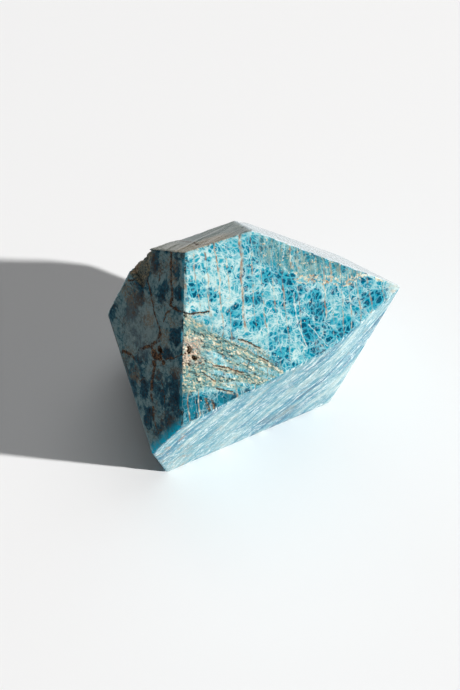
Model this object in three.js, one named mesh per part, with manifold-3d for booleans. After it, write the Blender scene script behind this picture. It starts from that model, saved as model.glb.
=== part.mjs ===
// Apatite point: one piece of banded blue-green apatite, sawn and polished into a free-form
// faceted stone that rests on a small sawn base and leans out over it on two sides.
// Millimetres, +Z up. The origin is on the table, under the middle of the stone.

import * as THREE from 'three';
import { mergeVertices } from 'three/addons/utils/BufferGeometryUtils.js';
import Module from 'manifold-3d';

const wasm = await Module();
wasm.setup();

// ---- Driving dimensions ---------------------------------------------------------------

// Every facet is set out from the heart of the stone: the compass direction it faces and its
// tilt above the horizon in degrees, and how far out it lies in millimetres.
const HEART = new THREE.Vector3(0.3, -1.1, 36);
const FACETS = {
  front: { facing: -82, tilt: 27.5, reach: 36.6 },
  left: { facing: -143, tilt: 19, reach: 39.6 },
  top: { facing: 125.5, tilt: 60.5, reach: 42 },
  frontUnder: { facing: -61.5, tilt: -23, reach: 21.6 },
  rightUnder: { facing: -48.5, tilt: -19, reach: 24.6 },
  leftUnder: { facing: -166.5, tilt: -12, reach: 36.1 },
  backRight: { facing: 59, tilt: 45.5, reach: 30.8 },
  back: { facing: 69.5, tilt: 39, reach: 28.6 },
  rightBack: { facing: 22.3, tilt: -4, reach: 27.4 },
  naturalSkin: { facing: 114.3, tilt: 29.6, reach: 24.8 },
  leftBack: { facing: 150, tilt: 20, reach: 34.8 },
  backUnder: { facing: 69, tilt: -26, reach: 44.1 },
  leftBackUnder: { facing: 126, tilt: -21.5, reach: 44.4 },
  base: { facing: 0, tilt: -90, reach: HEART.z },
};

const BLOCK = 260; // side of the rough block before it is sawn
const EDGE_EASE = 0.3; // depth taken off every sharp edge by the polisher
const SHARP_TURN = 12; // facets that meet more flatly than this, in degrees, need no easing
const CLEARANCE = 6; // how far a relief cutter stands out of the surface that it cuts
const WELD = 1e-4; // points nearer than this are one

// Broken stone lies in coarse lumps with fine ones on them, and splits in flat ledges. The fine
// lumps are this share of the coarse in size and in height, the ledges this square at their
// edges, and the cutter's grid points this far off their rows, as a share of a cell.
const FINE_SIZE = 0.37;
const FINE_HEIGHT = 0.3;
const LEDGE_SQUARE = 0.7;
const GRID_NUDGE = 0.6;

// Natural skin: the one side left unpolished, over the whole of its facet.
const SKIN = {
  across: 0, up: 0, width: 90, height: 90, cell: 2.5, depth: 2.4, lump: 10, ledge: 0.8, seed: 3,
};

// Broken rim: a rough bite out of the high corner between the left face and the skin.
const RIM_PLANE = { facing: -158, tilt: 17, reach: 39.8 };
const RIM = {
  across: -3.6, up: 27.2, width: 9, height: 11.6, cell: 1, depth: 1.2, lump: 3, ledge: 0.5, seed: 8,
};

// Crumbly fan on the front face: soft matrix worn back in furrows that run together to the
// right. Places on a face are across and up from the foot of its reach. Furrows and crumbs
// are shares of the depth, added to the part that is worn all over. The margin is the share
// of the fan that fades out at each edge, and what stands proud stays uncut.
const FAN = {
  upper: [[-22.5, 22.5], [-15, 18], [-7, 13], [0, 8], [5, 1]],
  lower: [[-25, -2], [-15, -1], [-8, -2], [-1, -2.5], [5, -1]],
  columns: 15,
  rows: 21,
  furrows: 8,
  depth: 0.45,
  worn: 0.4,
  furrow: 0.6,
  crumb: 0.7,
  sway: 0.12,
  margin: 0.2,
  proud: 0.1,
  seed: 5,
};

// Open cracks: a face, a route over it, and the crack's width and depth at its middle. All of
// them narrow to a share of that at their ends, and waver on the way.
const CRACK_END = 0.12;
const CRACK_WAVER = 0.5;
const CRACKS = [
  { on: 'front', route: [[-22, 22], [-19.8, 21.2], [-17, 21.1], [-14, 21.3]], width: 0.9, depth: 1.4 },
  { on: 'front', route: [[-14.2, 6], [-10.6, 4.8], [-8.5, 3.7], [-6.5, 3.1]], width: 0.8, depth: 1.2 },
  { on: 'front', route: [[-7.2, 12.7], [-5, 11.7], [-1.8, 9.6]], width: 0.7, depth: 0.9 },
  { on: 'front', route: [[-1.8, 7], [0.4, 5.4]], width: 0.6, depth: 0.8 },
  { on: 'front', route: [[-16.6, 3.6], [-14.3, 1.4]], width: 0.6, depth: 0.8 },
  { on: 'front', route: [[-13.8, -0.6], [-9.8, -2]], width: 0.6, depth: 0.8 },
  { on: 'front', route: [[-17, -3.2], [-16, -8.4]], width: 0.8, depth: 0.9 },
  { on: 'front', route: [[-15.8, -3.8], [-14.4, -9.2]], width: 0.8, depth: 0.9 },
  { on: 'front', route: [[-5.7, 41], [-5.4, 32], [-5.2, 26], [-5, 16]], width: 0.5, depth: 0.5 },
  { on: 'left', route: [[3, 26], [5, 24.7], [7.3, 23.4], [9.8, 24.2]], width: 0.9, depth: 1.4 },
  { on: 'left', route: [[-1.7, 3.6], [1.2, 7.2], [3.4, 10.9]], width: 0.7, depth: 0.8 },
  { on: 'left', route: [[2, 7.5], [4.2, 5.4], [5.8, 4.9], [6.7, 7.3]], width: 0.7, depth: 0.8 },
  { on: 'left', route: [[-9.7, -3.2], [-3.6, -1.4], [-1.5, -4.1]], width: 0.8, depth: 0.8 },
  { on: 'left', route: [[4.8, 0.5], [7.2, -5.4], [11.3, -11]], width: 0.6, depth: 0.6 },
  { on: 'left', route: [[-10, 27.2], [-7.6, 23.2], [-4.2, 20.6], [4.1, 11.5]], width: 0.6, depth: 0.6 },
  { on: 'top', route: [[19.3, 24], [19.6, 26.6], [19.4, 29.4]], width: 0.7, depth: 0.8 },
  { on: 'frontUnder', route: [[-30, -4], [-18, -9], [-6, -14.5]], width: 0.6, depth: 0.6 },
  { on: 'frontUnder', route: [[-12, 2], [-2, -4], [8, -11]], width: 0.5, depth: 0.5 },
  { on: 'back', route: [[-12, -6], [-4, -1], [3, 6]], width: 0.8, depth: 1 },
  { on: 'rightBack', route: [[-8, 18], [-6, 4], [-9, -12]], width: 0.8, depth: 1 },
  { on: 'leftUnder', route: [[-9, 14], [-3, 2], [-5, -10]], width: 0.8, depth: 1 },
];

// Angular hollows: each corner stands out by its own share of the radius, from the least up.
const CORNER_LEAST = 0.75;
const CORNER_SPREAD = 0.4;
const CORNER_KEY = 40; // corners are told apart to one part in this many

// Vugs: small angular hollows. Width, height and depth are the hollow's own.
const VUGS = [
  { on: 'front', at: [-20.6, 11], size: [1.8, 2.6, 1.6] },
  { on: 'front', at: [-19.4, 8.6], size: [2.2, 2, 1.8] },
  { on: 'front', at: [-21, 6.8], size: [1.6, 1.6, 1.2] },
  { on: 'front', at: [-4.6, -4.6], size: [1.6, 1.2, 0.8] },
  { on: 'left', at: [5.4, 8.6], size: [2.4, 1.6, 1.2] },
  { on: 'left', at: [-8.6, -2.6], size: [2, 1.6, 1] },
  { on: 'back', at: [4, -10], size: [3, 2.2, 1.6] },
  { on: 'leftBack', at: [2, 4], size: [3.2, 2.4, 1.6] },
];

// Chips knocked out of the edges: a face, the chip's place beside the edge, and its size. Its
// width, height and depth are shares of that.
const CHIP_SHAPE = [1.6, 1, 0.5];
const CHIPS = [
  { on: 'front', at: [-7, -4.2], size: 1.5 },
  { on: 'front', at: [11.4, 4.4], size: 1.3 },
  { on: 'front', at: [14.6, 5.9], size: 1.1 },
  { on: 'front', at: [37.4, 22.9], size: 1.4 },
  { on: 'front', at: [-19.6, 35.6], size: 1.2 },
  { on: 'front', at: [-21.2, 20.6], size: 1.5 },
  { on: 'top', at: [19.4, 31.2], size: 1.3 },
  { on: 'left', at: [13.6, -21.4], size: 1.4 },
  { on: 'left', at: [-18.2, 4.4], size: 1.6 },
];

// ---- Helpers --------------------------------------------------------------------------

// Repeatable noise: a value from 0 to 1 for each whole-number place, and its smooth blend.
function speckle(i, j, seed) {
  const wave = Math.sin(i * 127.1 + j * 311.7 + seed * 74.7) * 43758.5453;
  return wave - Math.floor(wave);
}

function lumpiness(x, y, seed) {
  const i = Math.floor(x);
  const j = Math.floor(y);
  const u = THREE.MathUtils.smoothstep(x - i, 0, 1);
  const v = THREE.MathUtils.smoothstep(y - j, 0, 1);
  const near = THREE.MathUtils.lerp(speckle(i, j, seed), speckle(i + 1, j, seed), u);
  const far = THREE.MathUtils.lerp(speckle(i, j + 1, seed), speckle(i + 1, j + 1, seed), u);
  return THREE.MathUtils.lerp(near, far, v);
}

function outward({ facing, tilt }) {
  const level = THREE.MathUtils.degToRad(facing);
  const rise = THREE.MathUtils.degToRad(tilt);
  return new THREE.Vector3(
    Math.cos(level) * Math.cos(rise),
    Math.sin(level) * Math.cos(rise),
    Math.sin(rise),
  );
}

// A facet's own axes: x level across it, y up it and z out of it, from the foot of its reach.
function facetFrame(facet) {
  const out = outward(facet);
  const level = THREE.MathUtils.degToRad(facet.facing);
  const across = new THREE.Vector3(-Math.sin(level), Math.cos(level), 0);
  const up = new THREE.Vector3().crossVectors(out, across);
  const foot = HEART.clone().addScaledVector(out, facet.reach);
  return new THREE.Matrix4().makeBasis(across, up, out).setPosition(foot);
}

function solid(geometry) {
  const bare = geometry.clone();
  bare.deleteAttribute('normal');
  bare.deleteAttribute('uv');
  const merged = mergeVertices(bare, WELD);
  return new wasm.Manifold(new wasm.Mesh({
    numProp: 3,
    vertProperties: merged.attributes.position.array,
    triVerts: new Uint32Array(merged.index.array),
  }));
}

// Everything on the outer side of a facet's plane.
function wasteBeyond(facet) {
  const waste = new THREE.BoxGeometry(BLOCK, BLOCK, BLOCK);
  waste.translate(0, 0, BLOCK / 2);
  return solid(waste.applyMatrix4(facetFrame(facet)));
}

// The narrow plane that eases the edge between two facets, or null where they hardly turn.
function easingFacet(one, other) {
  const sum = outward(one).add(outward(other));
  if (sum.length() > 2 * Math.cos(THREE.MathUtils.degToRad(SHARP_TURN / 2))) return null;
  const span = sum.length();
  const out = sum.normalize();
  return {
    facing: THREE.MathUtils.radToDeg(Math.atan2(out.y, out.x)),
    tilt: THREE.MathUtils.radToDeg(Math.asin(out.z)),
    reach: (one.reach + other.reach) / span - EDGE_EASE,
  };
}

// A slab that stands on a facet, with a grid of its own for an underside: place gives each
// grid point's across and up, and depth how far below the facet it lies.
function reliefCutter(facet, columns, rows, place, depth) {
  const slab = new THREE.BoxGeometry(1, 1, 1, columns, rows, 1);
  const points = slab.attributes.position;
  for (let k = 0; k < points.count; k += 1) {
    const s = points.getX(k) + 0.5;
    const t = points.getY(k) + 0.5;
    const [across, up] = place(s, t);
    const z = points.getZ(k) > 0 ? CLEARANCE : -depth(s, t, across, up);
    points.setXYZ(k, across, up, z);
  }
  return solid(slab.applyMatrix4(facetFrame(facet)));
}

// A V-shaped groove along a route over a facet, widest and deepest at its middle.
function crackCutter({ on, route, width, depth }) {
  const course = new THREE.CatmullRomCurve3(route.map(([x, y]) => new THREE.Vector3(x, y, 0)));
  const steps = route.length * 2;
  const rings = [];
  for (let k = 0; k <= steps; k += 1) {
    const share = k / steps;
    const centre = course.getPointAt(share);
    const along = course.getTangentAt(share);
    const waver = 1 + CRACK_WAVER * (speckle(k, route.length, depth) - 0.5);
    const swell = CRACK_END + (1 - CRACK_END) * Math.sin(Math.PI * share) * waver;
    const side = new THREE.Vector3(-along.y, along.x, 0).multiplyScalar(width * swell / 2);
    const lift = new THREE.Vector3(0, 0, EDGE_EASE);
    const keel = new THREE.Vector3(centre.x, centre.y, -depth * swell);
    rings.push([centre.clone().add(side).add(lift), keel, centre.clone().sub(side).add(lift)]);
  }
  const places = rings.flat().flatMap((point) => point.toArray());
  const faces = [0, 1, 2];
  for (let k = 0; k < steps; k += 1) {
    for (let corner = 0; corner < 3; corner += 1) {
      const a = 3 * k + corner;
      const b = 3 * k + ((corner + 1) % 3);
      faces.push(a, a + 3, b + 3, a, b + 3, b);
    }
  }
  const last = 3 * steps;
  faces.push(last + 2, last + 1, last);
  const groove = new THREE.BufferGeometry();
  groove.setAttribute('position', new THREE.Float32BufferAttribute(places, 3));
  groove.setIndex(faces);
  return solid(groove.applyMatrix4(facetFrame(FACETS[on])));
}

// An angular lump, sunk to its middle into a facet.
function lumpCutter(on, [across, up], [width, height, depth], detail) {
  const lump = new THREE.IcosahedronGeometry(1, detail);
  const points = lump.attributes.position;
  const corner = new THREE.Vector3();
  for (let k = 0; k < points.count; k += 1) {
    corner.fromBufferAttribute(points, k);
    const place = corner.clone().multiplyScalar(CORNER_KEY).round();
    const chance = speckle(place.x, place.y + 2 * place.z, across);
    corner.multiplyScalar(CORNER_LEAST + CORNER_SPREAD * chance);
    points.setXYZ(k, corner.x, corner.y, corner.z);
  }
  lump.scale(width / 2, height / 2, depth);
  lump.rotateZ(across + up);
  lump.translate(across, up, 0);
  return solid(lump.applyMatrix4(facetFrame(FACETS[on])));
}

// ---- The stone ------------------------------------------------------------------------

function sawnStone() {
  let stone = solid(new THREE.BoxGeometry(BLOCK, BLOCK, BLOCK));
  const facets = Object.values(FACETS);
  for (const facet of facets) stone = stone.subtract(wasteBeyond(facet));
  facets.forEach((one, index) => {
    for (const other of facets.slice(index + 1)) {
      const easing = easingFacet(one, other);
      if (easing) stone = stone.subtract(wasteBeyond(easing));
    }
  });
  return stone;
}

// How deep broken stone lies below its facet.
function brokenDepth(x, y, { depth, lump, ledge, seed }) {
  const small = lump * FINE_SIZE;
  const coarse = lumpiness(x / lump, y / lump, seed);
  const fine = lumpiness(x / small, y / small, seed + 1);
  const worn = depth * THREE.MathUtils.lerp(coarse, fine, FINE_HEIGHT);
  return THREE.MathUtils.lerp(worn, Math.round(worn / ledge) * ledge, LEDGE_SQUARE);
}

// A rough patch on a facet. Its grid points are nudged off their rows, so that no row shows.
function brokenPatch(facet, patch) {
  const { across, up, width, height, cell } = patch;
  const columns = Math.round(width / cell);
  const rows = Math.round(height / cell);
  const nudge = (s, t, turn) => {
    const chance = speckle(Math.round(s * columns), Math.round(t * rows), turn);
    return GRID_NUDGE * cell * (chance - 0.5);
  };
  const place = (s, t) => [
    across + (s - 0.5) * width + nudge(s, t, 1),
    up + (t - 0.5) * height + nudge(s, t, 2),
  ];
  return reliefCutter(facet, columns, rows, place, (s, t, x, y) => brokenDepth(x, y, patch));
}

// The fan's furrows follow its rows, which run together towards its right-hand end. It fades
// out towards its edges, but for the left one, where it runs off the face.
function crumblyFan() {
  const curve = (points) => new THREE.SplineCurve(points.map(([x, y]) => new THREE.Vector2(x, y)));
  const upper = curve(FAN.upper);
  const lower = curve(FAN.lower);
  const place = (s, t) => lower.getPoint(s).lerp(upper.getPoint(s), t).toArray();
  const depth = (s, t) => {
    const bend = FAN.sway * lumpiness(s * 4, t * 3, FAN.seed);
    const furrow = Math.abs(Math.sin(Math.PI * FAN.furrows * (t + bend)));
    const crumb = lumpiness(s * FAN.columns, t * FAN.rows, FAN.seed + 1);
    const fade = Math.min(1, Math.min(1 - s, t, 1 - t) / FAN.margin);
    return FAN.depth * fade * (FAN.worn + FAN.furrow * furrow + FAN.crumb * crumb) - FAN.proud;
  };
  return reliefCutter(FACETS.front, FAN.columns, FAN.rows, place, depth);
}

function apatiteStone() {
  let stone = sawnStone();
  stone = stone.subtract(brokenPatch(FACETS.naturalSkin, SKIN));
  stone = stone.subtract(brokenPatch(RIM_PLANE, RIM));
  stone = stone.subtract(crumblyFan());
  for (const crack of CRACKS) stone = stone.subtract(crackCutter(crack));
  for (const { on, at, size } of VUGS) stone = stone.subtract(lumpCutter(on, at, size, 1));
  for (const { on, at, size } of CHIPS) {
    stone = stone.subtract(lumpCutter(on, at, CHIP_SHAPE.map((share) => size * share), 0));
  }
  return stone;
}

function meshOf(manifold) {
  const { vertProperties, triVerts } = manifold.getMesh();
  const geometry = new THREE.BufferGeometry();
  geometry.setAttribute('position', new THREE.Float32BufferAttribute(vertProperties, 3));
  geometry.setIndex(Array.from(triVerts));
  const facetted = geometry.toNonIndexed();
  facetted.computeVertexNormals();
  return facetted;
}

const apatite = new THREE.MeshStandardMaterial({ color: 0x5fb3c6, roughness: 0.3, metalness: 0 });
const stone = new THREE.Mesh(meshOf(apatiteStone()), apatite);
stone.name = 'apatite_point';

const part = new THREE.Group();
part.add(stone);

export default part;
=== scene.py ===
import functools
import math

import bmesh
import bpy
import numpy as np
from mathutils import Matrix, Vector, noise


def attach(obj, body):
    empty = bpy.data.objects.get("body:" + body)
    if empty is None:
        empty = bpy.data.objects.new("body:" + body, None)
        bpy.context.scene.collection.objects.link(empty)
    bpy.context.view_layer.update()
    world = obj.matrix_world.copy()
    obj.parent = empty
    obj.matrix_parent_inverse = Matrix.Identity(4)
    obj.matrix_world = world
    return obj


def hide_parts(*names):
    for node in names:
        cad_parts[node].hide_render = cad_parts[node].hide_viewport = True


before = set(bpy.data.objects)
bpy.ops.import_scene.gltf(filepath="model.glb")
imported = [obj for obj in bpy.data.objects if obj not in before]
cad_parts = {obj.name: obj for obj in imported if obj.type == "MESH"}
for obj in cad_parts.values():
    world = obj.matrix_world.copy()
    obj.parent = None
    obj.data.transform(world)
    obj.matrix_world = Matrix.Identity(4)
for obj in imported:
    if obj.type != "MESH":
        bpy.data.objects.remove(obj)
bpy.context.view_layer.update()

# ---- Stone: its body ---------------------------------------------------------------------
# One lump of banded blue apatite, sawn to flat facets, then ground and polished by hand. The
# top is only sawn, and one side at the back is left as it came out of the ground.

MM = 0.001
SKIN_CELL = 0.3 * MM
WELD = 0.001 * MM
LARGE_FACET = 50 * MM * MM  # its least area: smaller flats are only broken stone
POLISHED_OFF = 0.09 * MM  # what lies this near to a facet is flattened by the polish
KEPT_EDGE = 0.5 * MM  # how far the flattening stays from a facet's edges

# A facet is the compass direction that it faces and its tilt, in degrees, and how far out of
# the stone's heart it lies, in millimetres.
HEART = Vector((0.3, -1.1, 36))
TOP = (125.5, 60.5, 42)


def facet_axes(facing, tilt, reach):
    """Across, up and out of a facet, and its foot, the place on it nearest to the heart."""
    facing, tilt = math.radians(facing), math.radians(tilt)
    level = math.cos(tilt)
    out = Vector((math.cos(facing) * level, math.sin(facing) * level, math.sin(tilt)))
    across = Vector((-math.sin(facing), math.cos(facing), 0))
    return across, out.cross(across), out, HEART + out * reach


def welded_copy(source, name):
    """A copy of a solid as one closed mesh, with the corners of its faces joined."""
    mesh = source.data.copy()
    mesh.name = name
    mesh.materials.clear()
    work = bmesh.new()
    work.from_mesh(mesh)
    bmesh.ops.remove_doubles(work, verts=work.verts, dist=WELD)
    work.to_mesh(mesh)
    work.free()
    return mesh


def facet_planes(mesh):
    """The outward direction and reach of every large flat face of a solid."""
    found = {}
    for face in mesh.polygons:
        direction = face.normal
        reach = direction.dot(face.center)
        key = tuple(round(v, 2) for v in direction) + (round(reach / MM, 1),)
        area, total, out = found.get(key, (0.0, 0.0, Vector()))
        found[key] = (area + face.area, total + reach * face.area, out + direction * face.area)
    large = [flat for flat in found.values() if flat[0] > LARGE_FACET]
    return np.array([(*out.normalized(), total / area) for area, total, out in large])


def read_points(mesh):
    points = np.empty(len(mesh.vertices) * 3, dtype=np.float32)
    mesh.vertices.foreach_get("co", points)
    return points.reshape(-1, 3).astype(float)


def write_points(mesh, points):
    mesh.vertices.foreach_set("co", points.astype(np.float32).ravel())
    mesh.update()


def apply_modifiers(thing):
    """Bakes an object's modifiers into its mesh."""
    graph = bpy.context.evaluated_depsgraph_get()
    made = bpy.data.meshes.new_from_object(thing.evaluated_get(graph))
    thing.modifiers.clear()
    thing.data = made


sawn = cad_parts["apatite_point"]
stone = bpy.data.objects.new("apatite_stone", welded_copy(sawn, "apatite_stone"))
bpy.context.scene.collection.objects.link(stone)
planes = facet_planes(stone.data)
top_across, top_up, top_out, top_foot = (np.array(way) for way in facet_axes(*TOP))
top_index = np.argmax(planes[:, :3] @ top_out)

skin = stone.modifiers.new("skin", "REMESH")
skin.mode = "VOXEL"
skin.voxel_size = SKIN_CELL
apply_modifiers(stone)


def polish(mesh):
    """Flattens what lies within a hair of a facet, clear of its edges: all but the sawn top.

    Gives each point, the facets nearest and next nearest to it, and its depth below both."""
    points = read_points(mesh)
    depths = planes[:, 3] - points @ planes[:, :3].T
    ranks = np.argsort(depths, axis=1)[:, :2]
    nearest, second = ranks.T
    sunk, inside = np.take_along_axis(depths, ranks, axis=1).T
    flat = (np.abs(sunk) < POLISHED_OFF) & (inside > KEPT_EDGE) & (nearest != top_index)
    points[flat] += planes[nearest[flat], :3] * sunk[flat][:, None]
    write_points(mesh, points)
    return points, nearest, second, sunk, inside


points, nearest, second, sunk, inside = polish(stone.data)

# ---- Stone: what the polish leaves -------------------------------------------------------
# The top keeps its saw lines. Soft seams are worn back below the polish, the natural skin is
# pitted, and short nicks have come out of the sharp edges.

NATURAL_SKIN = (114.3, 29.6, 24.8)
SKIN_RELIEF = 3.0  # how far the natural skin rises and falls about its plane, in millimetres
OFF_FACET = 0.3 * MM  # what lies deeper than this is no longer part of a facet
skin_out, skin_foot = (np.array(way) for way in facet_axes(*NATURAL_SKIN)[2:])


def lumps(point, sizes, start=0.0):
    """Lumps of several sizes at a point, each (how many to a millimetre, height)."""
    place = Vector(point) / MM
    return sum((height * noise.noise(place * pitch) for pitch, height in sizes), start)


def on_natural_skin(points, sunk):
    """Which points lie on the natural skin: close to its plane, and below every facet."""
    rise = (points / MM - skin_foot) @ skin_out
    return (np.abs(rise) < SKIN_RELIEF) & (sunk > OFF_FACET)


# Saw lines: grooves of two sizes, the long way over the top, which fade out at its edges.
SAW_DEPTH = 0.2 * MM
SAW_FADE = 1.0 * MM
for index in np.flatnonzero((nearest == top_index) & (sunk < OFF_FACET)):
    here = points[index] / MM - top_foot
    across, up = here @ top_across, here @ top_up
    wide_groove = noise.noise(Vector((across * 0.07, up * 0.5, 0)))
    fine_groove = noise.noise(Vector((across * 0.2, up * 1.3, 7)))
    fade = min(1.0, inside[index] / SAW_FADE)
    points[index] -= top_out * (SAW_DEPTH * fade * (0.6 + (wide_groove + 0.5 * fine_groove)))
write_points(stone.data, points)
normals = np.empty(len(points) * 3, dtype=np.float32)
stone.data.vertex_normals.foreach_get("vector", normals)
normals = normals.reshape(-1, 3)

# Grain of two sizes, on worn seams and broken stone, which is deeper the more they are worn.
GRAIN = 0.14 * MM
GRAIN_SIZES = ((0.9, 1.0), (2.1, 0.6))
GRAIN_STARTS = 0.12 * MM
GRAIN_GROWS = 0.5 * MM
MOST_WORN = 2.0
for index in np.flatnonzero(sunk > GRAIN_STARTS):
    worn = min(MOST_WORN, sunk[index] / GRAIN_GROWS)
    points[index] += normals[index] * (GRAIN * worn * lumps(points[index], GRAIN_SIZES))

# Pits in the natural skin: hollows of three sizes, which fade out towards its edges.
PIT = 0.6 * MM
PIT_SIZES = ((0.16, 1.0), (0.45, 0.5), (1.2, 0.3))
PIT_FADE = 2.0 * MM
for index in np.flatnonzero(on_natural_skin(points, sunk)):
    hollow = max(0.0, lumps(points[index], PIT_SIZES, 0.5))
    fade = min(1.0, sunk[index] / PIT_FADE)
    points[index] -= skin_out * (PIT * fade * hollow)

# Nicks: short bites out of the edges where two facets turn sharply.
NICK = 0.35 * MM
NICK_SIZES = ((0.55, 1.0), (1.6, 0.7))
NICK_REACH = 0.9 * MM
LOWEST_EDGE = 0.4 * MM
NICKS_START = 0.25
SHARP_TURN = math.radians(25)
turn = np.einsum("ij,ij->i", planes[nearest, :3], planes[second, :3])
on_edge = (inside < NICK_REACH) & (sunk < LOWEST_EDGE) & (turn < math.cos(SHARP_TURN))
for index in np.flatnonzero(on_edge):
    bite = max(0.0, lumps(points[index], NICK_SIZES) - NICKS_START)
    closeness = 1.0 - inside[index] / NICK_REACH
    points[index] -= normals[index] * (NICK * min(1.0, bite * 2) * closeness)
write_points(stone.data, points)

MOST_TRIANGLES = 185000
triangles = len(stone.data.polygons) * 2
if triangles > MOST_TRIANGLES:
    thin = stone.modifiers.new("thin", "DECIMATE")
    thin.ratio = MOST_TRIANGLES / triangles
    apply_modifiers(stone)
points, _, _, sunk, _ = polish(stone.data)

# The looks read two things off the mesh: how far below the polish a place is, in millimetres,
# and whether it is natural skin.
below_polish = stone.data.attributes.new("below_polish", "FLOAT", "POINT")
below_polish.data.foreach_set("value", (sunk / MM).astype(np.float32))
broken_skin = stone.data.attributes.new("broken_skin", "FLOAT", "POINT")
broken_skin.data.foreach_set("value", on_natural_skin(points, sunk).astype(np.float32))
CRISP_EDGE = math.radians(28)
stone.data.shade_smooth()
stone.data.set_sharp_from_angle(angle=CRISP_EDGE)

# ---- Stone: what its colours are made of -------------------------------------------------
# Blue apatite is a mosaic of clear teal grains in paler, milky apatite, netted with white
# fibres and crossed by upright sheets of rust and tan. The colour goes right through it, so
# each side is cut from the same stone and adds what only it has.


def node(kind, inputs=(), **settings):
    """A node in the tree being made: inputs is {socket name or number: value or output}."""
    made = tree.nodes.new(kind)
    for key, value in settings.items():
        setattr(made, key, value)
    for key, value in dict(inputs).items():
        if isinstance(value, bpy.types.NodeSocket):
            tree.links.new(value, made.inputs[key])
        else:
            made.inputs[key].default_value = value
    return made


def maths(operation, a, b=0.0):
    return node("ShaderNodeMath", {0: a, 1: b}, operation=operation).outputs[0]


def plus(*values):
    return functools.reduce(lambda a, b: maths("ADD", a, b), values)


def minus(a, b):
    return maths("SUBTRACT", a, b)


def times(*values):
    return functools.reduce(lambda a, b: maths("MULTIPLY", a, b), values)


def most(*values):
    return functools.reduce(lambda a, b: maths("MAXIMUM", a, b), values)


def weighed(base, *parts):
    """Parts, each (value, weight), added up from a base."""
    return plus(*(times(value, weight) for value, weight in parts), base)


def smooth(value, low, high, start=0.0, end=1.0):
    """Goes smoothly from start to end while value goes from low to high."""
    inputs = {"Value": value, "From Min": low, "From Max": high, "To Min": start, "To Max": end}
    return node("ShaderNodeMapRange", inputs, interpolation_type="SMOOTHSTEP").outputs[0]


FULL_SHARE = 0.35  # of the reach, within which all is at full strength


def near(value, middle, reach):
    """One where a value is at the middle, falling smoothly to nothing at the reach from it."""
    away = maths("ABSOLUTE", minus(value, middle))
    return smooth(away, reach * FULL_SHARE, reach, 1.0, 0.0)


def linear(shade):
    """A colour as the eye reads it, each part 0 to 255, as linear light."""
    parts = [part / 255 for part in shade]
    parts = [p / 12.92 if p <= 0.04045 else ((p + 0.055) / 1.055) ** 2.4 for p in parts]
    return (*parts, 1.0)


def blend(share, under, over):
    """Lays a colour, or a layer that has been made, over a layer, by a share."""
    over = linear(over) if isinstance(over, tuple) else over
    return node("ShaderNodeMix", {0: share, 6: under, 7: over}, data_type="RGBA").outputs[2]


def ramp(value, *stops):
    """A colour that goes from stop to stop, each (value, colour)."""
    made = node("ShaderNodeValToRGB", {0: value})
    elements = made.color_ramp.elements
    elements[0].position, elements[0].color = stops[0][0], linear(stops[0][1])
    elements[1].position, elements[1].color = stops[-1][0], linear(stops[-1][1])
    for position, shade in stops[1:-1]:
        elements.new(position).color = linear(shade)
    return made.outputs[0]


def vector(operation, a, b):
    return node("ShaderNodeVectorMath", {0: a, 1: b}, operation=operation).outputs[0]


def xyz(x, y, z=0.0):
    return node("ShaderNodeCombineXYZ", {0: x, 1: y, 2: z}).outputs[0]


def clouds(source, scale, detail=3.0, rough=0.55):
    inputs = {"Vector": source, "Scale": scale, "Detail": detail, "Roughness": rough}
    return node("ShaderNodeTexNoise", inputs).outputs[0]


def cell_walls(source, scale):
    """How near a place is to the walls of the cells that the stone is split into."""
    inputs = {"Vector": source, "Scale": scale}
    return node("ShaderNodeTexVoronoi", inputs, feature="DISTANCE_TO_EDGE").outputs[0]


def cell_chances(source, scale):
    """A chance from 0 to 1 for each of those cells."""
    lot = node("ShaderNodeTexVoronoi", {"Vector": source, "Scale": scale}).outputs["Color"]
    return node("ShaderNodeSeparateColor", {0: lot}).outputs[0]


def bent(source, reach, scale, detail=2.0):
    """A place pushed about by clouds, up to about half the reach each way."""
    inputs = {"Vector": source, "Scale": scale, "Detail": detail}
    push = node("ShaderNodeTexNoise", inputs).outputs["Color"]
    push = vector("SUBTRACT", push, (0.5, 0.5, 0.5))
    return vector("ADD", source, vector("MULTIPLY", push, (reach, reach, reach)))


def measured(source, ways, foot):
    """How far a place lies from a foot, in millimetres, each of several ways."""
    found = []
    for way in ways:
        dot = node("ShaderNodeVectorMath", {0: source, 1: way}, operation="DOT_PRODUCT")
        found.append(minus(dot.outputs["Value"], way.dot(foot)))
    return found


# The sheets of the stone stand upright on the front and lean under it.
FRONT = (-82, 27.5, 36.6)
SHEETS = Vector((0.659, 0.688, -0.307))
SHEET_UP = facet_axes(*FRONT)[1]
SHEET_WAYS = (SHEETS, SHEET_UP, SHEETS.cross(SHEET_UP))
METRES_TO_MM = (1000, 1000, 1000)


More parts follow.
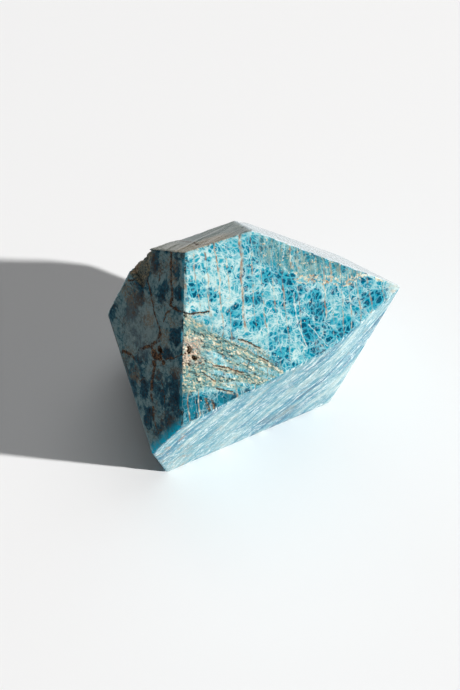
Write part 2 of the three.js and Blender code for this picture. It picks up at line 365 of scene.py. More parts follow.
class Grown:
    """The places in the stone, in millimetres, and the clouds and cells grown in it.

    Drift, shiver and flow are the places pushed about. Sheet, rise and run are how far they
    lie across, up and along the sheets of the stone, and the even ones are bent less."""

    def __init__(self):
        metres = node("ShaderNodeTexCoord").outputs["Object"]
        self.place = vector("MULTIPLY", metres, METRES_TO_MM)
        self.drift = bent(self.place, reach=3.0, scale=0.22, detail=3.0)
        self.shiver = bent(self.place, reach=0.9, scale=0.9)
        self.flow = bent(bent(self.place, reach=5.0, scale=0.10), reach=1.1, scale=0.7)
        self.sheet, self.rise, self.run = measured(self.flow, SHEET_WAYS, HEART)
        even_places = bent(bent(self.place, reach=2.2, scale=0.06), reach=0.7, scale=0.4)
        evenly = measured(even_places, SHEET_WAYS, HEART)
        self.even_sheet, self.even_rise, self.even_run = evenly
        self.bands = clouds(self.along(0.12), 1.1, detail=4.0, rough=0.6)
        self.wide = clouds(self.place, 0.06, rough=0.6)
        self.clumps = clouds(self.flow, 0.20)
        self.fine = clouds(self.flow, 0.9, detail=4.0, rough=0.65)
        self.grit = clouds(self.place, 1.7, rough=0.8)
        self.hairs = clouds(self.squeezed(1.0, 0.6, 0.6), 0.42, detail=4.0, rough=0.62)
        big_cells = self.squeezed(1.15, 0.8, 0.9)
        self.big_wall, self.big_chance = cell_walls(big_cells, 0.30), cell_chances(big_cells, 0.30)
        cells = self.squeezed(1.2, 0.85, 1.0)
        self.wall, self.chance = cell_walls(cells, 0.66), cell_chances(cells, 0.66)
        self.sunk = node("ShaderNodeAttribute", attribute_name="below_polish").outputs["Fac"]

    def squeezed(self, *shares):
        """Places across, up and along the sheets, each drawn together or out by a share."""
        ways = (self.sheet, self.rise, self.run)
        return xyz(*(way if share == 1.0 else times(way, share) for way, share in zip(ways, shares)))

    def along(self, share):
        """Places drawn out along the sheets, with only a share of the change that way."""
        return xyz(self.even_sheet, times(self.even_rise, share), times(self.even_run, share))


def white_net(grown):
    """How white a place is: fibres along the walls of the grains and across them."""
    fade = smooth(clouds(grown.place, 0.35), 0.36, 0.58, 0.4, 1.0)
    fibres = clouds(grown.flow, 0.6, detail=2.0, rough=0.5)
    return times(fade, most(
        times(smooth(grown.big_wall, 0.01, 0.05, 1.0, 0.0), 0.75),
        times(smooth(grown.wall, 0.01, 0.08, 1.0, 0.0), 0.55),
        times(near(grown.hairs, 0.5, 0.016), 0.7),
        times(near(fibres, 0.47, 0.016), 0.55)))


def mosaic_stone(grown, gathered=0.0, stray=1.0, lift=0.0):
    """Teal grains, where they are gathered or stray, in milky stone, under the white net.

    The lift deepens the milky stone itself towards teal."""
    strays = smooth(plus(grown.clumps, times(grown.big_chance, 0.28)), 0.62, 0.78, 0.0, stray)
    depth = most(strays, gathered)
    inside_cell = smooth(grown.wall, 0.05, 0.22)
    ground = weighed(lift, (grown.wide, 0.55), (grown.clumps, 0.55), (grown.fine, 1.0),
                     (times(grown.chance, inside_cell), 0.34), (grown.bands, 0.3))
    ground = plus(ground, -0.90)
    grain = times(depth, weighed(0.6, (grown.chance, 0.4)), weighed(0.3, (inside_cell, 0.7)))
    body = ramp(weighed(ground, (grain, 0.85)),
                (0.0, (176, 200, 196)), (0.22, (122, 174, 180)), (0.42, (44, 144, 160)),
                (0.62, (0, 128, 150)), (0.84, (0, 106, 132)), (1.0, (0, 70, 94)))
    net_colour = ramp(depth, (0.2, (192, 208, 204)), (0.9, (104, 176, 190)))
    return blend(times(white_net(grown), smooth(depth, 0.3, 1.0, 1.0, 0.6)), body, net_colour)


def crumbs_over(grown, body, need):
    """Cream and tan specks, which show where a cloud passes what is needed."""
    cloud = clouds(grown.place, 1.3, rough=0.7)
    specks = smooth(minus(cloud, need), -0.01, 0.03, 0.0, 0.9)
    cream_to_tan = ramp(grown.fine, (0.38, (206, 206, 190)), (0.5, (186, 176, 148)),
                        (0.64, (144, 110, 82)))
    return blend(specks, body, cream_to_tan)


def seams_over(grown, body, wide_seams=0.0):
    """Rust and tan sheets seen edge-on: wide ones where told, thin ones all through."""
    inputs = {"W": grown.even_sheet, "Scale": 0.46}
    wall = node("ShaderNodeTexVoronoi", inputs, voronoi_dimensions="1D",
                feature="DISTANCE_TO_EDGE").outputs[0]
    width = smooth(clouds(grown.squeezed(1.0, 0.4, 0.4), 0.12), 0.42, 0.68, 0.01, 0.085)
    thin = smooth(maths("DIVIDE", wall, width), 0.5, 1.5, 1.0, 0.0)
    thin = times(thin, smooth(clouds(grown.place, 0.5), 0.40, 0.56, 0.25, 0.95))
    broken = smooth(clouds(grown.place, 1.3, rough=0.7), 0.36, 0.52, 0.4, 1.0)
    pale_to_rust = ramp(clouds(grown.place, 0.45), (0.36, (194, 198, 184)),
                        (0.5, (160, 136, 108)), (0.62, (132, 88, 60)))
    return blend(times(most(wide_seams, thin), broken, 0.85), body, pale_to_rust)


WORN_ROUGHER = 0.28  # how much rougher a place is where the polish is worn right off it
GRIT_HEIGHT = 0.3 * MM


def polished(grown, body, shine=0.5, rougher=0.0):
    """The finished surface: gritty where it is worn below the polish, smooth elsewhere."""
    roughness = plus(smooth(grown.fine, 0.2, 0.8, 0.22, 0.34), rougher)
    relief = times(grown.grit, smooth(grown.sunk, 0.04, 0.3))
    bump = node("ShaderNodeBump", {"Strength": 0.6, "Distance": GRIT_HEIGHT, "Height": relief})
    shader = node("ShaderNodeBsdfPrincipled", {
        "Base Color": body, "Roughness": roughness, "Normal": bump.outputs[0], "IOR": 1.45,
        "Specular IOR Level": shine})
    node("ShaderNodeOutputMaterial", {"Surface": shader.outputs[0]})


# ---- Stone: its front --------------------------------------------------------------------
# The widest facet, ground flat and polished. It shows the mosaic best, with the ends of the
# wide rust seams, and a crumbly fan of tan matrix which runs in from its left edge.

worn_by = []  # the facets that show each look, in the order of the stone's materials


def new_tree(name, *facets):
    """The empty node tree of a new material on the stone, which is the look of these facets."""
    material = bpy.data.materials.new(name)
    material.use_nodes = True
    material.node_tree.nodes.clear()
    stone.data.materials.append(material)
    worn_by.append(facets)
    return material.node_tree


def facet_places(source, facet):
    """Places as a facet's own: millimetres across it, up it and below it."""
    across, up, out, foot = facet_axes(*facet)
    return measured(source, (across, up, -out), foot)


def between(value, low, high, fade):
    return times(smooth(value, low - fade, low), smooth(value, high, high + fade, 1.0, 0.0))


def path(value, points):
    """The height of a line drawn from point to point, over each place along it."""
    height = points[0][1]
    for (start, low), (end, high) in zip(points, points[1:]):
        inputs = {"Value": value, "From Min": start, "From Max": end, "To Max": high - low}
        height = plus(height, node("ShaderNodeMapRange", inputs).outputs[0])
    return height


END_FADE = 0.5


def drawn(across, up, points, width, steep=False):
    """A line drawn over a face through points, fading out at its ends and its sides."""
    if steep:
        across, up, points = up, across, [(y, x) for x, y in points]
    points = sorted(points)
    line = near(up, path(across, points), width)
    return times(line, between(across, points[0][0], points[-1][0], END_FADE))


def spots(across, up, middles):
    """One in the middle of every spot, each (across, up, reach), and nothing past its reach."""
    here = xyz(across, up)
    found = 0.0
    for x, y, reach in middles:
        away = node("ShaderNodeVectorMath", {0: here, 1: (x, y, 0)}, operation="DISTANCE")
        found = most(found, smooth(away.outputs["Value"], reach * 0.6, reach * 1.2, 1.0, 0.0))
    return found


tree = new_tree("apatite_front", FRONT)
grown = Grown()
across, up = facet_places(grown.drift, FRONT)[:2]
line_across, line_up, line_below = facet_places(grown.shiver, FRONT)

# Where clear grains gather, each (across, up, reach), in millimetres.
GATHERINGS = [
    (-17.5, 27.6, 2.6), (-13.5, 25.8, 2.0), (-7.9, 32.2, 1.0), (-14.2, 35.6, 0.9),
    (-14.5, 32.2, 1.0), (1.2, 29.1, 2.0), (5.8, 27.9, 2.6), (-1.6, 23.7, 2.1), (-4.1, 23.5, 1.2),
    (1.9, 21.6, 1.4), (-7.6, 20.6, 2.1), (-7.4, 16.9, 1.5), (-2.0, 16.7, 2.4), (5.9, 14.1, 1.6),
    (7.6, 23.2, 2.0), (7.8, 18.8, 1.5), (12.9, 32.8, 2.0), (20.6, 30.3, 2.2), (14.5, 18.9, 2.6),
    (13.5, 22.6, 2.1), (10.7, 15.2, 2.2), (12.0, 11.9, 3.1), (18.3, 15.1, 1.3), (21.7, 13.5, 2.8),
    (27.2, 21.2, 1.5), (30.1, 20.1, 3.0), (18.4, 11.5, 1.5), (4.3, 7.6, 2.0), (-19.1, -3.4, 2.4),
    (-13.2, -4.8, 2.0), (-10.6, -4.1, 2.2), (-20.9, -7.6, 1.9), (-22.2, -0.7, 1.6),
    (7.6, 3.0, 1.8), (-6.0, -3.4, 1.8)]
FAINT_GATHERINGS = [
    (-4.5, 36.9, 2.4), (-7.7, 38.6, 1.8), (-0.3, 38.9, 2.2), (3.4, 38.3, 1.9), (-21.0, 33.0, 1.2),
    (9.5, 36.0, 2.0), (16.0, 31.0, 2.2), (25.0, 28.6, 1.8), (-3.5, 28.5, 2.0), (2.0, 12.0, 2.0)]
FAINTNESS = 0.55
FEW_STRAYS = 0.55
faint = times(spots(across, up, FAINT_GATHERINGS), FAINTNESS)
gathered = most(spots(across, up, GATHERINGS), faint)

# The ground is paler at the upper left, and deeper to the right and under the fan.
upper_left = times(smooth(across, -9, -3, 1.0, 0.0), smooth(up, 19, 24))
low_left = times(smooth(across, -3, 2, 1.0, 0.0), smooth(up, -2.5, -1, 1.0, 0.0))
to_the_right = smooth(across, 6, 12)
lift = weighed(0.0, (upper_left, -0.08), (low_left, 0.42), (to_the_right, 0.1))
body = mosaic_stone(grown, gathered, FEW_STRAYS, lift)
clear_teal = ramp(grown.chance, (0.2, (0, 52, 68)), (0.8, (16, 112, 128)))
body = blend(times(low_left, smooth(grown.wall, 0.03, 0.12, 0.3, 0.72)), body, clear_teal)

# A broken line of crumbs runs near the top. Over it the stone is duller, and hung with
# upright threads.
BAND = [(-4, 34.5), (1, 32), (4.7, 29.8), (9.7, 27.9), (13.9, 27.2), (17.8, 26.5), (20.9, 24.5),
        (23.1, 25.7), (27.5, 27.5), (34, 24.6)]
BAND_REACH = 1.8
DULL_TEAL = (52, 108, 114)
THREADS = (158, 162, 140)
band = path(across, BAND)
above_band = minus(up, band)
over_band = times(smooth(above_band, -1.0, 2.5), smooth(across, -4, 2))
on_band = times(near(up, band, BAND_REACH), smooth(across, 4, 9))
body = blend(times(over_band, smooth(grown.bands, 0.4, 0.6, 0.2, 0.7)), body, DULL_TEAL)
hung = clouds(grown.along(0.10), 1.1, detail=4.0, rough=0.6)
body = blend(times(over_band, near(hung, 0.52, 0.03), 0.45), body, THREADS)
CRUMBS_NEED = 0.66
need = plus(CRUMBS_NEED, times(over_band, -0.055), times(on_band, -0.14), times(upper_left, -0.03))
body = crumbs_over(grown, body, need)

# Wide seams, where they stand on the front, each (across, from, to, width).
SEAMS = [(-5.3, 16, 41, 0.4), (-11.4, 24, 39.5, 0.28), (-14.7, 21, 26, 0.22), (7.9, 32, 39, 0.24),
         (16.1, 17, 29, 0.24), (18.2, 27, 33, 0.22), (-21.9, -9, -1, 0.2), (-19.2, -9, 0, 0.22),
         (-8.6, -5, -1, 0.22), (-3.6, -2, 3, 0.2)]
SEAM_END = 2.0
front_across, _, _, front_foot = facet_axes(*FRONT)
slant = SHEETS.dot(front_across)
sheet_at_foot = SHEETS.dot(front_foot - HEART)
stands = times(minus(grown.even_sheet, sheet_at_foot), 1.0 / slant)
wide_seams = 0.0
for stand, low, high, width in SEAMS:
    seam = times(near(stands, stand, width), between(up, low, high, SEAM_END))
    wide_seams = most(wide_seams, seam)
body = seams_over(grown, body, wide_seams)

# Pale veins that wander over the front, right of the middle.
VEIN_WIDTH = 0.22
VEIN = (198, 206, 198)
LONG_VEIN = [(8.1, 24), (8.3, 19), (9, 14), (10.8, 8.8)]
SHORT_VEIN = [(11.8, 14.7), (16.2, 8.2)]
veins = most(drawn(line_across, line_up, LONG_VEIN, VEIN_WIDTH, steep=True),
             drawn(line_across, line_up, SHORT_VEIN, VEIN_WIDTH))
body = blend(times(veins, smooth(grown.fine, 0.4, 0.55, 0.35, 0.8)), body, VEIN)

# Matrix: a fan of tan crumbs and streaks, which all run towards one place on its right.
FAN_TOP = [(-27, 23.5), (-21, 21.3), (-17, 18.7), (-11.4, 16.4), (-1.2, 9), (2.1, 5.8), (6, -0.5)]
FAN_FOOT = [(-27, -1.5), (-17, -0.8), (-11.7, -0.4), (-5, -1.6), (2, -2), (6, -0.5)]
FOCUS_ACROSS = 16.0
FOCUS_UP = -7.0
below_fan_top = minus(path(across, FAN_TOP), up)
above_fan_foot = minus(up, path(across, FAN_FOOT))
in_fan = times(smooth(below_fan_top, -0.8, 1.0), smooth(above_fan_foot, -0.8, 1.0))
outward = minus(FOCUS_ACROSS, line_across)
turn = maths("ARCTAN2", minus(line_up, FOCUS_UP), outward)
fan_places = xyz(times(turn, 30.0), times(outward, 0.15), times(line_below, 0.5))
fan_streaks = clouds(fan_places, 1.9, detail=5.0, rough=0.7)
crumb_places = xyz(times(turn, 26.0), times(outward, 0.6), times(line_below, 0.8))
crumb_chance = cell_chances(crumb_places, 3.2)
fan_edge = near(below_fan_top, 2.0, 3.0)
matrix_tone = weighed(-1.40, (fan_streaks, 2.0), (crumb_chance, 0.85), (grown.grit, 0.8),
                      (fan_edge, 0.10))
matrix = ramp(matrix_tone, (0.0, (40, 54, 54)), (0.16, (76, 110, 110)), (0.4, (98, 142, 142)),
              (0.6, (132, 158, 146)), (0.76, (172, 156, 124)), (0.95, (212, 210, 192)))
PINK = (188, 154, 136)
pink = times(near(across, -21.5, 6.0), near(up, 10.5, 5.0))
matrix = blend(times(pink, smooth(grown.grit, 0.42, 0.56, 0.1, 0.7)), matrix, PINK)
windows = smooth(plus(clouds(fan_places, 0.4, detail=2.0), times(grown.grit, 0.25)), 0.6, 0.66)
windows = times(windows, smooth(across, -19.0, -13.0))
body = blend(times(in_fan, smooth(windows, 0.0, 1.0, 1.0, 0.15)), body, matrix)

# The tip is worn pale, with a peach streak in it.
TIP = (37.0, 22.3, 4.2)
grey_to_peach = ramp(grown.fine, (0.45, (190, 202, 198)), (0.6, (200, 180, 156)))
body = blend(times(spots(across, up, [TIP]), 0.6), body, grey_to_peach)

# Cracks and vugs: dark where they are deep, which is painted shade in the hollows and in the
# pocket's pits, with tan crumbs along the lower lips.
FAN_CRACKS = [
    [(-22, 22), (-19.8, 21.2), (-17, 21.1), (-14.5, 21.3)],
    [(-14.2, 6), (-10.6, 4.8), (-8.5, 3.7), (-6.5, 3.1)],
    [(-7.2, 12.7), (-5, 11.7), (-1.8, 9.6)], [(-1.8, 7), (0.4, 5.4)],
    [(-16.6, 3.6), (-14.3, 1.4)], [(-13.8, -0.6), (-9.8, -2)]]
CRACK_WIDTH = 0.36
LIP_WIDTH = 0.4
LIP_DROP = 0.5
LIP = (196, 182, 152)
BARS = [([(-17, -3.2), (-16, -8.4)], 0.65), ([(-15.4, -3.8), (-14.4, -9.2)], 0.45)]
POCKET = (-20.4, 8.8, 4.0)
lips = most(*[drawn(line_across, plus(line_up, LIP_DROP), route, LIP_WIDTH) for route in FAN_CRACKS])
body = blend(times(lips, smooth(grown.grit, 0.42, 0.55, 0.1, 0.6)), body, LIP)
gaps = most(*[drawn(line_across, line_up, route, CRACK_WIDTH) for route in FAN_CRACKS])
bars = most(*[drawn(line_across, line_up, route, width, steep=True) for route, width in BARS])
bars = times(bars, smooth(grown.grit, 0.35, 0.5, 0.3, 0.95))
bubbles = smooth(clouds(grown.place, 1.6, detail=2.0), 0.55, 0.58)
pocket = times(spots(across, up, [POCKET]), bubbles)
worn_below = smooth(in_fan, 0.0, 1.0, 0.14, 0.62)
# Darker the deeper below the polish, and in the pocket: painted shade, with cream crumbs.
deep_shade = most(smooth(minus(grown.sunk, worn_below), 0.0, 0.3), pocket)
dark_to_cream = ramp(grown.grit, (0.4, (16, 13, 10)), (0.49, (96, 62, 38)), (0.56, (220, 208, 184)))
body = blend(times(deep_shade, 0.95), body, dark_to_cream)
dark_to_tan = ramp(grown.grit, (0.44, (24, 18, 13)), (0.54, (78, 54, 38)), (0.64, (162, 136, 102)))
body = blend(times(most(gaps, bars), 0.95), body, dark_to_tan)
polished(grown, body, shine=0.15, rougher=times(in_fan, WORN_ROUGHER))

# ---- Stone: its left side ----------------------------------------------------------------
# The same stone, with its colours painted darker than the front's, as painted shade for the side
# that faces away from the light: tall deep grains, brown bands and tan patches, and a net of thin
# brown cracks. Light that comes through the thin edges is painted on as a blue glow along them.

# Two narrow facets beside it share its look. The light comes in by the facet under the front.
LEFT = (-143, 19, 39.6)
LEFT_EDGES = [(-155, 3.6, 39.8), (-166.5, -12, 36.1)]
FRONT_UNDER = (-61.5, -23, 21.6)

tree = new_tree("apatite_left", LEFT, *LEFT_EDGES)
grown = Grown()
across, up = facet_places(grown.shiver, LEFT)[:2]
soft_places = bent(bent(grown.drift, reach=5.0, scale=0.35), reach=1.6, scale=1.0)
soft_across, soft_up = facet_places(soft_places, LEFT)[:2]

# Deep grains, taller than they are wide, each (across, up, reach).
LEFT_GATHERINGS = [
    (-6.0, 31.0, 2.4), (0.3, 26.5, 2.2), (0.2, 23.5, 2.0), (2.5, 33.2, 2.2), (-9.4, 12.5, 3.2),
    (-7.5, 17.5, 2.4), (-17.0, 6.6, 2.8), (7.9, 9.6, 2.2), (3.5, -6.3, 2.6), (15.7, -0.3, 3.2),
    (13.7, 3.4, 2.6), (15.0, -6.2, 2.8), (17.8, -9.2, 3.4), (9.0, 16.5, 2.4), (-1.5, 0.5, 2.0),
    (11.5, 22.0, 2.6), (8.5, -13.0, 2.6), (5.5, 28.5, 2.0)]
TALLNESS = 1.6
NARROWING = 0.85
standing = [(x, y / TALLNESS, reach * NARROWING) for x, y, reach in LEFT_GATHERINGS]
tall = clouds(grown.squeezed(1.0, 0.4, 0.4), 0.24, detail=4.0, rough=0.6)
depth = most(spots(soft_across, times(soft_up, 1 / TALLNESS), standing),
             smooth(tall, 0.5, 0.62, 0.0, 0.75))
tone = weighed(-1.82, (depth, 0.58), (grown.fine, 2.0), (grown.bands, 0.9), (grown.grit, 1.0))
# Darker tones than the front's mosaic: painted shade for this side.
body = ramp(tone, (0.0, (122, 148, 152)), (0.25, (78, 114, 122)), (0.5, (4, 76, 96)),
            (0.75, (0, 52, 72)), (1.0, (0, 18, 28)))
MILKY_MIDDLE = (-4.0, 10.0, 9.0)
MILK_GREY = (146, 150, 146)
body = blend(times(spots(soft_across, soft_up, [MILKY_MIDDLE]), 0.3), body, MILK_GREY)
SHADED_NET = (112, 138, 140)
body = blend(times(white_net(grown), smooth(depth, 0.2, 0.9, 0.6, 0.25)), body, SHADED_NET)

# Brown bands, and tan patches, each (across, up, reach).
BROWN = (84, 64, 44)
TAN = (124, 108, 86)
TAN_PATCHES = [
    (-11.7, 15.3, 3.2), (-2.1, 13.8, 2.8), (6.0, 19.5, 2.0), (5.8, 13.3, 2.4), (0.9, 34.4, 2.4),
    (2.2, 30.0, 1.8), (-0.8, -5.1, 2.4), (4.4, 6.0, 2.4), (-6.0, -1.0, 2.4)]
brown = clouds(grown.along(0.3), 0.34, detail=5.0, rough=0.65)
brown_share = times(smooth(brown, 0.54, 0.62), smooth(grown.grit, 0.4, 0.55, 0.1, 0.7))
body = blend(brown_share, body, BROWN)
tan_patches = spots(soft_across, soft_up, TAN_PATCHES)
body = blend(times(tan_patches, smooth(grown.grit, 0.42, 0.58, 0.0, 0.8)), body, TAN)

# Brown cracks, each (route, width, whether it is steep), and the brown mass where they meet.
LEFT_CRACKS = [
    ([(-9.9, 29.2), (-6.7, 24.0), (-2.9, 20.0), (-0.6, 17.0), (2.6, 14.5), (3.6, 13.3)], 0.65, False),
    ([(3.7, 13.4), (3.6, 10.8), (1.5, 7.6), (-1.5, 4.0)], 0.9, True),
    ([(1.5, 7.6), (3.7, 6.4), (3.9, 5.4), (6.7, 7.1)], 0.9, False),
    ([(4.7, 5.0), (5.9, -1.9), (6.7, -5.4), (8.9, -8.0), (10.2, -11.2), (12.6, -13.1)], 0.85, True),
    ([(-1.1, 36.8), (1.7, 30.0), (4.0, 25.8), (4.1, 23.1)], 0.8, True),
    ([(3.9, 23.2), (6.5, 23.4), (9.2, 24.6)], 0.6, False),
    ([(-3.1, 30.1), (-2.3, 26.7)], 0.35, True),
    ([(6.2, 24.3), (3.6, 20.1), (3.5, 17.3)], 0.4, True),
    ([(-8.5, -1.7), (-4.9, -0.6), (-3.1, -0.6)], 0.7, False),
    ([(-1.9, -2.2), (-0.9, -4.7), (1.5, -5.0), (2.8, -2.6)], 0.4, False),
    ([(9.0, 1.4), (11.1, -1.1), (13.1, -4.6)], 0.4, True),
    ([(8.4, 8.4), (10.9, 10.3), (13.2, 13.7)], 0.5, False),
    ([(-13.6, 18.8), (-9.6, 21.6), (-8.4, 24.0)], 0.5, False)]
BROWN_MASS = [(4.0, 6.2, 1.7), (5.9, 6.9, 1.3), (5.1, 9.0, 1.2), (7.8, 6.6, 0.9), (4.6, 3.6, 1.0)]
cracks = times(near(grown.hairs, 0.56, 0.02), smooth(brown, 0.42, 0.5), 0.6)
for route, width, steep in LEFT_CRACKS:
    cracks = most(cracks, drawn(across, up, route, width, steep))
cracks = times(cracks, smooth(clouds(grown.place, 0.8), 0.36, 0.5, 0.3, 0.95))
dark_to_tan = ramp(grown.grit, (0.44, (24, 15, 9)), (0.54, (88, 56, 34)), (0.64, (136, 110, 80)))
body = blend(cracks, body, dark_to_tan)
mass = plus(spots(across, up, BROWN_MASS), times(grown.grit, 2.2))
body = blend(smooth(mass, 1.55, 1.8, 0.0, 0.95), body, dark_to_tan)

# A painted glow: blue light painted into the colour along the two edges that the light comes through.
PAINTED_GLOW = (0, 184, 220)
below_under, below_front = (facet_places(grown.place, facet)[2] for facet in (FRONT_UNDER, FRONT))
low_glow = times(smooth(below_under, 0.3, 3.4, 1.0, 0.0), smooth(grown.fine, 0.35, 0.6, 0.5, 1.0))
front_glow = times(smooth(below_front, 0.3, 1.0, 0.4, 0.0), smooth(grown.clumps, 0.45, 0.6))
body = blend(most(low_glow, front_glow), body, PAINTED_GLOW)

# Painted shade in what is worn away: dark brown, deepening as the surface sinks below the polish;
# and a grey and tan crust on the broken rim at the top.
at_rim = smooth(facet_places(grown.place, NATURAL_SKIN)[2], 6.0, 9.0, 1.0, 0.0)
hollow_shade_share = times(smooth(grown.sunk, 0.14, 0.5), minus(1.0, at_rim), 0.9)
body = blend(hollow_shade_share, body, ramp(grown.grit, (0.42, (40, 28, 18)), (0.58, (104, 76, 52))))
rim_crust = ramp(grown.grit, (0.38, (38, 40, 34)), (0.49, (96, 104, 96)), (0.6, (166, 150, 118)))
body = blend(times(at_rim, smooth(grown.sunk, 0.1, 0.5), 0.8), body, rim_crust)
polished(grown, body, shine=0.03)

# ---- Stone: its underside facets ---------------------------------------------------------
# The sheets come out at a low angle here, so they show as long soft streaks of pale blue and
# grey, with white and tan threads between them.

RIGHT_UNDER = (-48.5, -19, 24.6)

tree = new_tree("apatite_under", FRONT_UNDER, RIGHT_UNDER)
grown = Grown()
STRETCH = 0.05
wavy = bent(bent(grown.place, reach=4.0, scale=0.07), reach=0.7, scale=0.25)
over, rise, run = measured(wavy, SHEET_WAYS, HEART)
streak_places = xyz(over, times(rise, STRETCH), times(run, STRETCH))
streaks = clouds(streak_places, 0.27, detail=5.0, rough=0.65)
threads = clouds(streak_places, 0.5, detail=4.0, rough=0.62)
tone = weighed(-1.65, (streaks, 2.2), (clouds(grown.place, 0.10), 1.2), (grown.fine, 0.9))
body = ramp(tone, (0.1, (146, 168, 168)), (0.34, (104, 144, 152)), (0.5, (70, 128, 142)),
            (0.68, (40, 114, 136)), (0.9, (8, 88, 114)))
WHITE_THREAD = (200, 212, 210)
TAN_THREAD = (146, 120, 98)
DULL_PATCH = (92, 104, 106)
white_threads = most(near(threads, 0.5, 0.022), times(near(threads, 0.43, 0.018), 0.7),
                     times(near(streaks, 0.56, 0.014), 0.8))
broken = smooth(clouds(grown.flow, 0.4), 0.42, 0.56, 0.2, 0.95)
body = blend(times(white_threads, broken), body, WHITE_THREAD)
across, up = facet_places(grown.drift, FRONT_UNDER)[:2]
tan_threads = most(near(threads, 0.58, 0.022), near(streaks, 0.45, 0.012))
tan_share = times(smooth(clouds(grown.place, 0.3), 0.5, 0.6), smooth(across, -27, -18, 0.9, 0.45))
body = blend(times(tan_threads, tan_share), body, TAN_THREAD)
dull_patch = times(near(across, 4.0, 9.0), near(up, -17.0, 6.0))
body = blend(times(dull_patch, smooth(streaks, 0.42, 0.54, 0.9, 0.3)), body, DULL_PATCH)
polished(grown, body, shine=0.1)

# ---- Stone: its sawn top -----------------------------------------------------------------
# Sawn and only lightly ground, in long slate and pale streaks, and tan to cream along its front
# and left edges. Its pale greys and creams are partly painted reflection: the sheen of the bright
# room on this facet at a grazing angle, painted into its colour.

tree = new_tree("apatite_top", TOP)
grown = Grown()
across, up = facet_places(grown.shiver, TOP)[:2]
saw_lines = clouds(xyz(times(across, 0.12), up), 0.7, detail=4.0, rough=0.65)
tone = weighed(-0.7, (saw_lines, 1.3), (grown.grit, 0.5), (grown.wide, 0.5))
# Pale greys: partly the sawn stone, partly painted reflection.
body = ramp(tone, (0.2, (138, 162, 160)), (0.45, (168, 188, 184)), (0.7, (198, 208, 198)))
below_front, below_left = (facet_places(grown.drift, facet)[2] for facet in (FRONT, LEFT))
ragged = times(grown.fine, 3.0)
front_rim = times(smooth(plus(below_front, ragged), 5.0, 8.0, 1.0, 0.0), smooth(across, 9.0, 15.0))
left_rim = smooth(plus(below_left, ragged), 4.0, 9.0, 0.45, 0.0)
tan_to_cream = ramp(grown.grit, (0.4, (208, 192, 160)), (0.6, (240, 232, 212)))
# Tan to cream along the edges: partly the stone, partly painted reflection.
body = blend(times(most(front_rim, left_rim), 0.9), body, tan_to_cream)
TOP_CRACKS = [[(20.1, 18.2), (19.9, 21.0), (19.4, 24.3), (19.6, 27.8)], [(18.9, 29.4), (17.2, 31.4)]]
TOP_CRACK_WIDTH = 0.45
DARK_BROWN = (76, 52, 34)
cracks = most(*[drawn(across, up, route, TOP_CRACK_WIDTH, steep=True) for route in TOP_CRACKS])
body = blend(times(cracks, smooth(grown.grit, 0.4, 0.56, 0.95, 0.5)), body, DARK_BROWN)
polished(grown, body, shine=0.9, rougher=smooth(tone, 0.3, 0.7, -0.12, 0.08))

# ---- Stone: its other sides --------------------------------------------------------------
# The back is cut and polished as the front is, and pale at the upper right: milky stone there, and
# a painted reflection of the near-white sheen along that facet's edge. One side is left as it came
# out of the ground: a weathered tan and brown crust, with the teal showing through.

BACK_RIGHT = (59, 45.5, 30.8)

tree = new_tree("apatite_back")
grown = Grown()
body = mosaic_stone(grown)
body = crumbs_over(grown, body, CRUMBS_NEED)
body = seams_over(grown, body)
MILK_AND_SHEEN = (198, 206, 209)
on_back_right = smooth(facet_places(grown.place, BACK_RIGHT)[2], 0.3, 0.7, 1.0, 0.0)
milk_and_sheen_share = smooth(clouds(grown.flow, 0.13, detail=4.0, rough=0.6), 0.4, 0.6, 0.72, 0.96)
# Pale milk: partly the stone's own, partly a painted reflection of the sheen at a grazing angle.
body = blend(times(on_back_right, milk_and_sheen_share), body, MILK_AND_SHEEN)
rough_skin = node("ShaderNodeAttribute", attribute_name="broken_skin").outputs["Fac"]
crust_clouds = clouds(grown.flow, 0.25, detail=5.0, rough=0.65)
crust_tone = weighed(-1.15, (crust_clouds, 1.8), (grown.fine, 0.9), (grown.grit, 0.6))
crust = ramp(crust_tone, (0.1, (48, 40, 32)), (0.35, (112, 88, 62)), (0.55, (160, 138, 106)),
             (0.7, (196, 184, 158)), (0.9, (150, 104, 66)))
covered = smooth(clouds(grown.flow, 0.12, detail=4.0, rough=0.6), 0.52, 0.6, 0.95, 0.35)
body = blend(times(most(rough_skin, smooth(grown.sunk, 0.3, 0.8)), covered), body, crust)
polished(grown, body, rougher=times(rough_skin, WORN_ROUGHER))

# ---- Stone: which side is which ----------------------------------------------------------
# The looks go through the stone, so each side simply shows its own: every face of the skin
# takes the look of the facet that it lies nearest to. The back's look has all the others.

SAME_FACET = math.cos(math.radians(10))
BACK_LOOK = len(worn_by) - 1
look_of_plane = np.full(len(planes), BACK_LOOK)
for look, facets in enumerate(worn_by):
    for facet in facets:
        alike = planes[:, :3] @ np.array(facet_axes(*facet)[2]) > SAME_FACET
        look_of_plane[alike] = look
centres = np.empty(len(stone.data.polygons) * 3, dtype=np.float32)
stone.data.polygons.foreach_get("center", centres)
centre_depths = planes[:, 3] - centres.reshape(-1, 3).astype(float) @ planes[:, :3].T
closest = np.argmin(centre_depths, axis=1)
stone.data.polygons.foreach_set("material_index", look_of_plane[closest].astype(np.int32))

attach(stone, "root")
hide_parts("apatite_point")

# ---- Table -------------------------------------------------------------------------------
# A plain matt white table top, far wider than the stone, which only carries it.

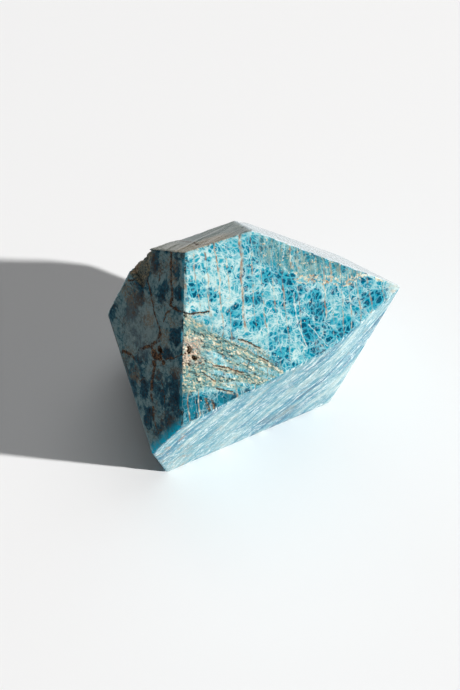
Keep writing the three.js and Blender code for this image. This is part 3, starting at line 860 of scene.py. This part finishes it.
TABLE_REACH = 3.0
TABLE_WHITE = (0.86, 0.86, 0.86, 1.0)
TABLE_ROUGHNESS = 0.8
table_mesh = bpy.data.meshes.new("table_top")
corners = [(-TABLE_REACH, -TABLE_REACH, 0), (TABLE_REACH, -TABLE_REACH, 0),
           (TABLE_REACH, TABLE_REACH, 0), (-TABLE_REACH, TABLE_REACH, 0)]
table_mesh.from_pydata(corners, [], [(0, 1, 2, 3)])
table_top = bpy.data.objects.new("table_top", table_mesh)
bpy.context.scene.collection.objects.link(table_top)
white = bpy.data.materials.new("matt_white")
white.use_nodes = True
paint = white.node_tree.nodes["Principled BSDF"]
paint.inputs["Base Color"].default_value = TABLE_WHITE
paint.inputs["Roughness"].default_value = TABLE_ROUGHNESS
table_mesh.materials.append(white)

# ---- Studio light ------------------------------------------------------------------------
# One soft lamp, low on the right, a wide soft panel overhead that fills the shadows on the
# table, and a dim room.

LAMP_WIDTH = 0.5
LAMP_WATTS = 5740.0
LAMP_COLOUR = (1.0, 0.992, 0.985)
LAMP_WAY = Vector((0.892, -0.308, 0.345)).normalized()
LAMP_AWAY = 16.0
LAMP_AIM = Vector((0, 0, 0.04))
lamp_data = bpy.data.lights.new("soft_lamp", "AREA")
lamp_data.shape = "DISK"
lamp_data.size = LAMP_WIDTH
lamp_data.color = LAMP_COLOUR
lamp_data.energy = LAMP_WATTS
lamp = bpy.data.objects.new("soft_lamp", lamp_data)
lamp.location = LAMP_AIM + LAMP_WAY * LAMP_AWAY
lamp.rotation_euler = LAMP_WAY.to_track_quat("Z", "Y").to_euler()
bpy.context.scene.collection.objects.link(lamp)

PANEL_WIDTH = 2.4
PANEL_WATTS = 18.0
PANEL_PLACE = (0.2, 0.5, 2.4)
panel_data = bpy.data.lights.new("overhead_panel", "AREA")
panel_data.shape = "RECTANGLE"
panel_data.size = PANEL_WIDTH
panel_data.size_y = PANEL_WIDTH
panel_data.energy = PANEL_WATTS
panel = bpy.data.objects.new("overhead_panel", panel_data)
panel.location = PANEL_PLACE
bpy.context.scene.collection.objects.link(panel)

ROOM_COLOUR = (0.93, 0.96, 1.0, 1.0)
ROOM_STRENGTH = 0.05
room = bpy.data.worlds.new("pale_room")
room.use_nodes = True
room.node_tree.nodes["Background"].inputs["Color"].default_value = ROOM_COLOUR
room.node_tree.nodes["Background"].inputs["Strength"].default_value = ROOM_STRENGTH
bpy.context.scene.world = room
bpy.context.scene.view_settings.view_transform = "Standard"

# ---- Camera ------------------------------------------------------------------------------
# It looks down at 48 degrees on to the table, from 480 mm away.

DISTANCE = 0.480
LOOK_DOWN = math.radians(48)
AIM = Vector((-0.0054, 0.0273, 0.0))
FRAME_HEIGHT_PX = 690
FOCAL_PX = 1500
camera_data = bpy.data.cameras.new("camera")
camera_data.sensor_fit = "VERTICAL"
camera_data.sensor_height = 24.0
camera_data.lens = camera_data.sensor_height * FOCAL_PX / FRAME_HEIGHT_PX
camera = bpy.data.objects.new("camera", camera_data)
camera.location = AIM + Vector((0, -math.cos(LOOK_DOWN), math.sin(LOOK_DOWN))) * DISTANCE
camera.rotation_euler = (math.pi / 2 - LOOK_DOWN, 0, 0)
bpy.context.scene.collection.objects.link(camera)
bpy.context.scene.camera = camera
